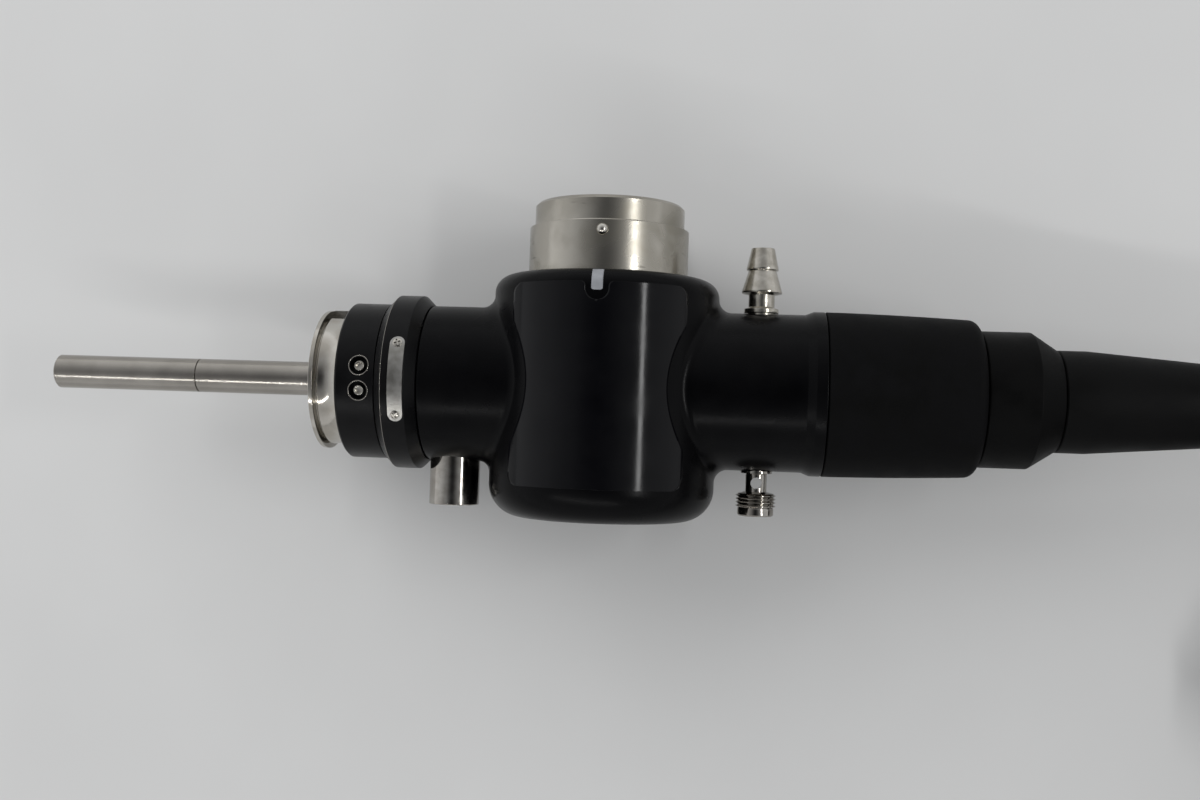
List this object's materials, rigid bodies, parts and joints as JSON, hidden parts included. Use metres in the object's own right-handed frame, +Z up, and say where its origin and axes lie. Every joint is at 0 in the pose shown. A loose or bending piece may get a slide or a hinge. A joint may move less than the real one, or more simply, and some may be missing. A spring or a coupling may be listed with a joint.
{
  "type": "flexible endoscope",
  "caption": "Flexible endoscope: light source connector with socket and ports, coiled universal cord, control section with angulation knobs and valves, insertion tube with jointed bending tip",
  "frame": {"origin": "centre of the light guide's entry face, at the tip of the light guide rod", "axes": "+X along the connector from the light guide's tip towards its cord, +Y towards the electrical socket, +Z up, away from the surface that the instrument lies on"},
  "size_m": [0.6777, 0.3959, 0.0654],
  "materials": {
    "stainless_steel": "turned and polished stainless steel",
    "light_guide_glass": "polished glass fibre bundle face",
    "black_moulding": "satin black moulded plastic",
    "black_rubber": "matt black rubber",
    "cord_sheath": "smooth black cord sheath",
    "tube_sheath": "smooth black insertion tube coating",
    "grey_moulding": "grey moulded plastic",
    "red_button": "red identification disc colour",
    "blue_button": "blue identification disc colour"
  },
  "bodies": {
    "endoscope": {"light_guide_rod": "stainless_steel", "light_guide_glass": "light_guide_glass", "air_pipe": "stainless_steel", "front_flange": "stainless_steel", "locating_key": "stainless_steel", "front_collar": "black_moulding", "collar_screw_1": "stainless_steel", "collar_screw_2": "stainless_steel", "clamp_ring": "black_moulding", "ring_plate": "stainless_steel", "plate_screw_1": "stainless_steel", "plate_screw_2": "stainless_steel", "housing": "black_moulding", "socket_shell": "stainless_steel", "bayonet_pin_1": "stainless_steel", "bayonet_pin_2": "stainless_steel", "contact_block": "black_moulding", "suction_nipple": "stainless_steel", "venting_connector": "stainless_steel", "supply_connector": "stainless_steel", "grip_sleeve": "black_rubber", "cord_nut": "black_moulding", "connector_boot": "black_rubber", "universal_cord_lead": "cord_sheath", "universal_cord_coil": "cord_sheath", "universal_cord_tail": "cord_sheath", "universal_cord_boot": "black_rubber", "control_body": "black_moulding", "knob_spindle": "stainless_steel", "suction_collar": "stainless_steel", "air_water_collar": "stainless_steel", "grip": "black_moulding", "channel_port": "stainless_steel", "channel_cap": "black_rubber", "insertion_boot": "black_rubber", "insertion_tube_lead": "tube_sheath", "insertion_tube_coil": "tube_sheath", "insertion_tube_end": "tube_sheath", "bending_base": "stainless_steel"},
    "up_down_brake_lever": {"up_down_brake_lever": "black_moulding"},
    "up_down_knob": {"up_down_knob": "black_moulding"},
    "left_right_knob": {"left_right_knob": "black_moulding"},
    "left_right_brake_knob": {"left_right_brake_knob": "black_moulding"},
    "suction_valve": {"suction_valve": "red_button"},
    "air_water_valve": {"air_water_valve": "blue_button"},
    "remote_switch_1": {"remote_switch_1": "grey_moulding"},
    "remote_switch_2": {"remote_switch_2": "grey_moulding"},
    "remote_switch_3": {"remote_switch_3": "grey_moulding"},
    "remote_switch_4": {"remote_switch_4": "grey_moulding"},
    "channel_lid": {"channel_lid": "black_rubber"},
    "vertebra_1": {"vertebra_1": "stainless_steel"},
    "vertebra_2": {"vertebra_2": "stainless_steel"},
    "vertebra_3": {"vertebra_3": "stainless_steel"},
    "vertebra_4": {"vertebra_4": "stainless_steel"},
    "vertebra_5": {"vertebra_5": "stainless_steel"},
    "vertebra_6": {"vertebra_6": "stainless_steel"},
    "vertebra_7": {"vertebra_7": "stainless_steel"},
    "distal_end": {"distal_end": "black_moulding"}
  },
  "joints": [
    {"name": "up_down_brake", "type": "hinge", "parent": "endoscope", "child": "up_down_brake_lever", "pos_m": [0.3888, -0.079, -0.0082], "axis": [-1, 0, 0], "range_deg": [0, 45]},
    {"name": "up_down_angulation", "type": "hinge", "parent": "endoscope", "child": "up_down_knob", "pos_m": [0.382, -0.079, -0.0082], "axis": [-1, 0, 0], "range_deg": [-80, 187.5]},
    {"name": "left_right_angulation", "type": "hinge", "parent": "endoscope", "child": "left_right_knob", "pos_m": [0.373, -0.079, -0.0082], "axis": [-1, 0, 0], "range_deg": [-100, 100]},
    {"name": "left_right_brake", "type": "hinge", "parent": "endoscope", "child": "left_right_brake_knob", "pos_m": [0.366, -0.079, -0.0082], "axis": [-1, 0, 0], "range_deg": [0, 90]},
    {"name": "suction_press", "type": "slide", "parent": "endoscope", "child": "suction_valve", "axis": [0, 0, -1], "range_m": [0, 0.003], "stiffness_N_per_m": 700, "springref_m": -0.001},
    {"name": "air_water_press", "type": "slide", "parent": "endoscope", "child": "air_water_valve", "axis": [0, 0, -1], "range_m": [0, 0.003], "stiffness_N_per_m": 700, "springref_m": -0.001},
    {"name": "switch_1_press", "type": "slide", "parent": "endoscope", "child": "remote_switch_1", "axis": [0, -1, 0], "range_m": [0, 0.001], "stiffness_N_per_m": 1500, "springref_m": -0.0005},
    {"name": "switch_2_press", "type": "slide", "parent": "endoscope", "child": "remote_switch_2", "axis": [0, -1, 0], "range_m": [0, 0.001], "stiffness_N_per_m": 1500, "springref_m": -0.0005},
    {"name": "switch_3_press", "type": "slide", "parent": "endoscope", "child": "remote_switch_3", "axis": [0, 0, -1], "range_m": [0, 0.001], "stiffness_N_per_m": 1500, "springref_m": -0.0005},
    {"name": "switch_4_press", "type": "slide", "parent": "endoscope", "child": "remote_switch_4", "axis": [0, 0, -1], "range_m": [0, 0.001], "stiffness_N_per_m": 1500, "springref_m": -0.0005},
    {"name": "channel_lid_hinge", "type": "hinge", "parent": "endoscope", "child": "channel_lid", "pos_m": [0.411, -0.16704, 0.02975], "axis": [1, 0, 0], "range_deg": [0, 110]},
    {"name": "bend_1", "type": "hinge", "parent": "endoscope", "child": "vertebra_1", "pos_m": [0.5987, -0.338, -0.02785], "axis": [0, 0, 1], "range_deg": [-22.5, 52.6]},
    {"name": "bend_2", "type": "hinge", "parent": "vertebra_1", "child": "vertebra_2", "pos_m": [0.6077, -0.338, -0.02785], "axis": [0, -1, 0], "range_deg": [-25.1, 25.1]},
    {"name": "bend_3", "type": "hinge", "parent": "vertebra_2", "child": "vertebra_3", "pos_m": [0.6167, -0.338, -0.02785], "axis": [0, 0, 1], "range_deg": [-22.5, 52.6]},
    {"name": "bend_4", "type": "hinge", "parent": "vertebra_3", "child": "vertebra_4", "pos_m": [0.6257, -0.338, -0.02785], "axis": [0, -1, 0], "range_deg": [-25.1, 25.1]},
    {"name": "bend_5", "type": "hinge", "parent": "vertebra_4", "child": "vertebra_5", "pos_m": [0.6347, -0.338, -0.02785], "axis": [0, 0, 1], "range_deg": [-22.5, 52.6]},
    {"name": "bend_6", "type": "hinge", "parent": "vertebra_5", "child": "vertebra_6", "pos_m": [0.6437, -0.338, -0.02785], "axis": [0, -1, 0], "range_deg": [-25.1, 25.1]},
    {"name": "bend_7", "type": "hinge", "parent": "vertebra_6", "child": "vertebra_7", "pos_m": [0.6527, -0.338, -0.02785], "axis": [0, 0, 1], "range_deg": [-22.5, 52.6]},
    {"name": "bend_8", "type": "hinge", "parent": "vertebra_7", "child": "distal_end", "pos_m": [0.6617, -0.338, -0.02785], "axis": [0, -1, 0], "range_deg": [-25.1, 25.1]}
  ],
  "couplings": [
    {"joint": "bend_1", "follows": "up_down_angulation", "ratio": 0.28},
    {"joint": "bend_2", "follows": "left_right_angulation", "ratio": 0.25},
    {"joint": "bend_3", "follows": "up_down_angulation", "ratio": 0.28},
    {"joint": "bend_4", "follows": "left_right_angulation", "ratio": 0.25},
    {"joint": "bend_5", "follows": "up_down_angulation", "ratio": 0.28},
    {"joint": "bend_6", "follows": "left_right_angulation", "ratio": 0.25},
    {"joint": "bend_7", "follows": "up_down_angulation", "ratio": 0.28},
    {"joint": "bend_8", "follows": "left_right_angulation", "ratio": 0.25}
  ]
}
